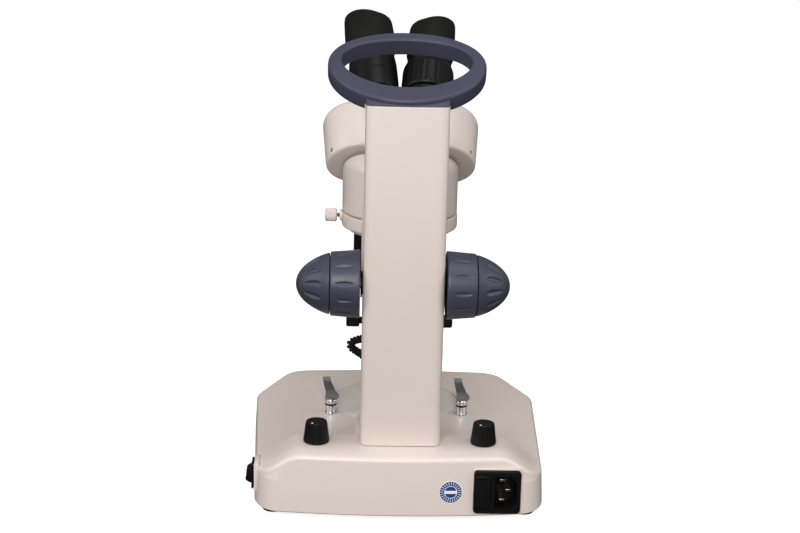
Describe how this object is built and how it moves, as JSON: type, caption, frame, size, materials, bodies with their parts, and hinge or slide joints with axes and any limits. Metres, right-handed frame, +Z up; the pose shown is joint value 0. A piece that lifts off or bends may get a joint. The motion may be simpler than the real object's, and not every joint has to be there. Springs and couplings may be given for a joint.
{
  "type": "stereo microscope",
  "caption": "Greenough stereo microscope with inclined eyepieces on a rack-and-pinion pillar stand, with a carry handle, an upper lamp and a lit base with stage clips and dimmer dials.",
  "frame": {"origin": "on the bench, under the middle of the microscope", "axes": "+Z up, the user sits on the -Y side, +X is the user's right"},
  "size_m": [0.2164, 0.252, 0.32],
  "materials": {
    "cream_enamel": "glossy warm cream enamel",
    "blue_grey_plastic": "satin blue-grey moulded plastic",
    "rubber": "matt black rubber",
    "steel": "turned bright steel",
    "chrome": "polished chrome",
    "glass": "clear optical glass",
    "brass": "machined brass",
    "circuit": "green circuit board",
    "black_anodised": "satin black anodised aluminium",
    "black_plastic": "black moulded plastic"
  },
  "bodies": {
    "stand": {"base_shell": "cream_enamel", "base_plate": "black_anodised", "rear_left_foot": "rubber", "rear_right_foot": "rubber", "front_left_foot": "rubber", "front_right_foot": "rubber", "stage_glass": "glass", "led_module": "circuit", "circuit_board": "circuit", "left_dimmer": "steel", "right_dimmer": "steel", "inlet_housing": "black_plastic", "line_blade": "steel", "neutral_blade": "steel", "earth_blade": "steel", "switch_frame": "black_plastic", "left_clip_bush": "chrome", "right_clip_bush": "chrome", "pillar": "cream_enamel", "focus_guide": "steel", "left_pinion_bush": "black_anodised", "right_pinion_bush": "black_anodised", "carry_handle": "blue_grey_plastic", "lamp_cable": "rubber"},
    "focus_drive": {"pinion_shaft": "steel", "left_knob_ring": "blue_grey_plastic", "left_knob_nose": "blue_grey_plastic", "right_knob_ring": "blue_grey_plastic", "right_knob_nose": "blue_grey_plastic"},
    "carriage": {"holder_arm": "cream_enamel", "focus_rack": "brass", "lamp_bracket": "black_anodised", "lamp_pivot": "black_anodised"},
    "lock": {"lock_screw": "steel", "lock_knob": "cream_enamel"},
    "lamp": {"lamp_housing": "black_anodised", "lamp_lens": "glass"},
    "head": {"head_body": "cream_enamel"},
    "turret": {"objective_turret": "black_anodised", "left_low_power_lens": "glass", "right_low_power_lens": "glass", "left_high_power_lens": "glass", "right_high_power_lens": "glass"},
    "left_eyetube": {"left_prism_housing": "cream_enamel", "left_prism": "glass"},
    "right_eyetube": {"right_prism_housing": "cream_enamel", "right_prism": "glass", "right_eyepiece": "black_anodised", "right_eyecup": "rubber", "right_eye_lens": "glass"},
    "left_eyepiece": {"left_eyepiece": "black_anodised", "left_eyecup": "rubber", "left_eye_lens": "glass"},
    "diopter": {"diopter_ring": "black_anodised"},
    "left_dial": {"left_dial": "black_plastic"},
    "right_dial": {"right_dial": "black_plastic"},
    "rocker": {"switch_rocker": "black_plastic"},
    "drawer": {"fuse_drawer": "black_plastic"},
    "left_clip": {"left_stage_clip": "chrome"},
    "right_clip": {"right_stage_clip": "chrome"}
  },
  "joints": [
    {"name": "focus_slide", "type": "slide", "parent": "stand", "child": "carriage", "axis": [0, 0, 1], "range_m": [-0.03, 0.025], "deforming": ["lamp_cable"]},
    {"name": "focus_knobs", "type": "hinge", "parent": "stand", "child": "focus_drive", "pos_m": [0, 0.084, 0.1547], "axis": [1, 0, 0], "range_deg": [-235, 280]},
    {"name": "lock_turn", "type": "hinge", "parent": "carriage", "child": "lock", "pos_m": [0.0382, -0.033, 0.1752], "axis": [1, 0, 0], "range_deg": [0, 540]},
    {"name": "lamp_tilt", "type": "hinge", "parent": "carriage", "child": "lamp", "pos_m": [0, 0.019, 0.11], "axis": [1, 0, 0], "range_deg": [-25, 20]},
    {"name": "head_turn", "type": "hinge", "parent": "carriage", "child": "head", "pos_m": [0, -0.033, 0.1785], "axis": [0, 0, 1], "range_deg": [-90, 90]},
    {"name": "turret_turn", "type": "hinge", "parent": "head", "child": "turret", "pos_m": [0, -0.033, 0.165], "axis": [0, 0, 1], "range_deg": [0, 90]},
    {"name": "left_eyetube_turn", "type": "hinge", "parent": "head", "child": "left_eyetube", "pos_m": [-0.0294, -0.0286, 0.2121], "axis": [-0.0872, -0.7044, 0.7044], "range_deg": [-2, 60]},
    {"name": "right_eyetube_turn", "type": "hinge", "parent": "head", "child": "right_eyetube", "pos_m": [0.0294, -0.0286, 0.2121], "axis": [0.0872, -0.7044, 0.7044], "range_deg": [-60, 2]},
    {"name": "diopter_travel", "type": "slide", "parent": "left_eyetube", "child": "left_eyepiece", "axis": [-0.0872, -0.7044, 0.7044], "range_m": [-0.0022, 0.0022]},
    {"name": "diopter_turn", "type": "hinge", "parent": "left_eyepiece", "child": "diopter", "pos_m": [-0.01406, -0.02772, 0.21971], "axis": [-0.0872, -0.7044, 0.7044], "range_deg": [-150, 150]},
    {"name": "left_dial_turn", "type": "hinge", "parent": "stand", "child": "left_dial", "pos_m": [-0.0566, 0.0955, 0.047], "axis": [0, 0, 1], "range_deg": [-140, 140]},
    {"name": "right_dial_turn", "type": "hinge", "parent": "stand", "child": "right_dial", "pos_m": [0.0566, 0.0955, 0.047], "axis": [0, 0, 1], "range_deg": [-140, 140]},
    {"name": "power_switch", "type": "hinge", "parent": "stand", "child": "rocker", "pos_m": [0.0985, 0.093, 0.0227], "axis": [0, 1, 0], "range_deg": [0, 18]},
    {"name": "fuse_drawer_slide", "type": "slide", "parent": "stand", "child": "drawer", "axis": [0, 1, 0], "range_m": [0, 0.018]},
    {"name": "left_clip_swing", "type": "hinge", "parent": "stand", "child": "left_clip", "pos_m": [-0.0485, -0.004, 0.031], "axis": [0, 0, 1], "range_deg": [-100, 50]},
    {"name": "right_clip_swing", "type": "hinge", "parent": "stand", "child": "right_clip", "pos_m": [0.0485, -0.004, 0.031], "axis": [0, 0, 1], "range_deg": [-50, 100]}
  ],
  "couplings": [
    {"joint": "focus_knobs", "follows": "focus_slide", "rad_per_m": -161.29},
    {"joint": "right_eyetube_turn", "follows": "left_eyetube_turn", "ratio": -1},
    {"joint": "diopter_turn", "follows": "diopter_travel", "rad_per_m": 1150}
  ]
}
